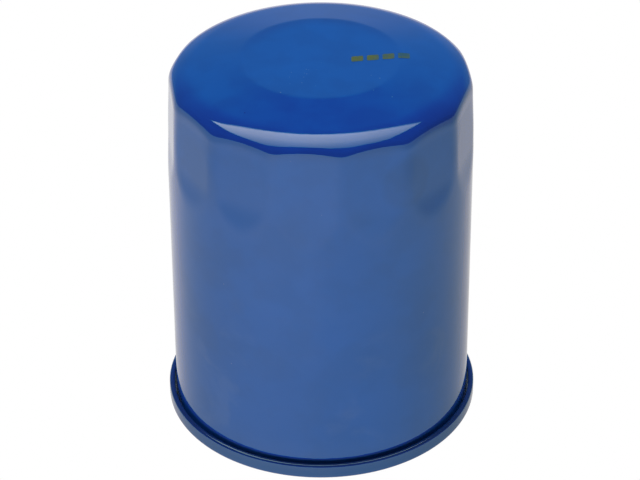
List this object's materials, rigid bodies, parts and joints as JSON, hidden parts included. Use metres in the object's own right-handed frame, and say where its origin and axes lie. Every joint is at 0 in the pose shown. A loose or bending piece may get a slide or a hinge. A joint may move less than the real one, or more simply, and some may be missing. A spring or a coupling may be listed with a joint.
{
  "type": "spin-on oil filter",
  "caption": "Spin-on engine oil filter: blue dome-ended can with wrench flats, crimped seam, gasket, threaded base plate, pleated element, bypass and anti-drainback valves.",
  "frame": {"origin": "on the filter's axis, at the sealing gasket's face, the lowest plane of the part as it stands dome up", "axes": "+Z along the axis from the threaded base to the dome; -Y is the front, with the centre of one wrench flat 5 degrees from it"},
  "size_m": [0.0796, 0.0796, 0.1],
  "materials": {
    "blue_paint": "glossy blue enamel with slight orange peel",
    "seam_paint": "blue enamel over the crimped seam, fading to bare tinplate underneath",
    "tinplate": "bright drawn tinplate",
    "plate_steel": "pressed steel, lightly oiled",
    "spring_steel": "oil-tempered wire",
    "gasket_rubber": "black nitrile, satin",
    "valve_rubber": "black nitrile, matte",
    "filter_paper": "resin-treated filter paper",
    "plastisol": "cured plastisol",
    "compound": "dried seaming compound"
  },
  "bodies": {
    "can": {"can_shell": "blue_paint", "seaming_lid": "seam_paint", "seam_compound": "compound", "base_plate": "plate_steel", "sealing_gasket": "gasket_rubber", "element_spring": "spring_steel"},
    "element": {"lower_end_cap": "tinplate", "lower_bond": "plastisol", "filter_media": "filter_paper", "media_seam_clip": "tinplate", "center_tube": "tinplate", "upper_bond": "plastisol", "upper_end_cap": "tinplate", "bypass_housing": "plate_steel", "bypass_seat_seal": "valve_rubber", "bypass_spring": "spring_steel", "bypass_spring_retainer": "plate_steel", "element_spring_seat": "tinplate"},
    "poppet": {"bypass_poppet": "plate_steel"},
    "drainback_lip": {"anti_drainback_valve": "valve_rubber"}
  },
  "joints": [
    {"name": "element_float", "type": "slide", "parent": "can", "child": "element", "axis": [0, 0, 1], "range_m": [0, 0.0015], "stiffness_N_per_m": 2000, "springref_m": -0.01, "deforming": ["element_spring"]},
    {"name": "bypass_opening", "type": "slide", "parent": "element", "child": "poppet", "axis": [0, 0, -1], "range_m": [0, 0.003], "stiffness_N_per_m": 100, "springref_m": -0.004, "deforming": ["bypass_spring"]},
    {"name": "drainback_lip_lift", "type": "slide", "parent": "can", "child": "drainback_lip", "axis": [0, 0, 1], "range_m": [0, 0.0012], "stiffness_N_per_m": 60, "springref_m": -0.002, "deforming": ["anti_drainback_valve"]}
  ]
}
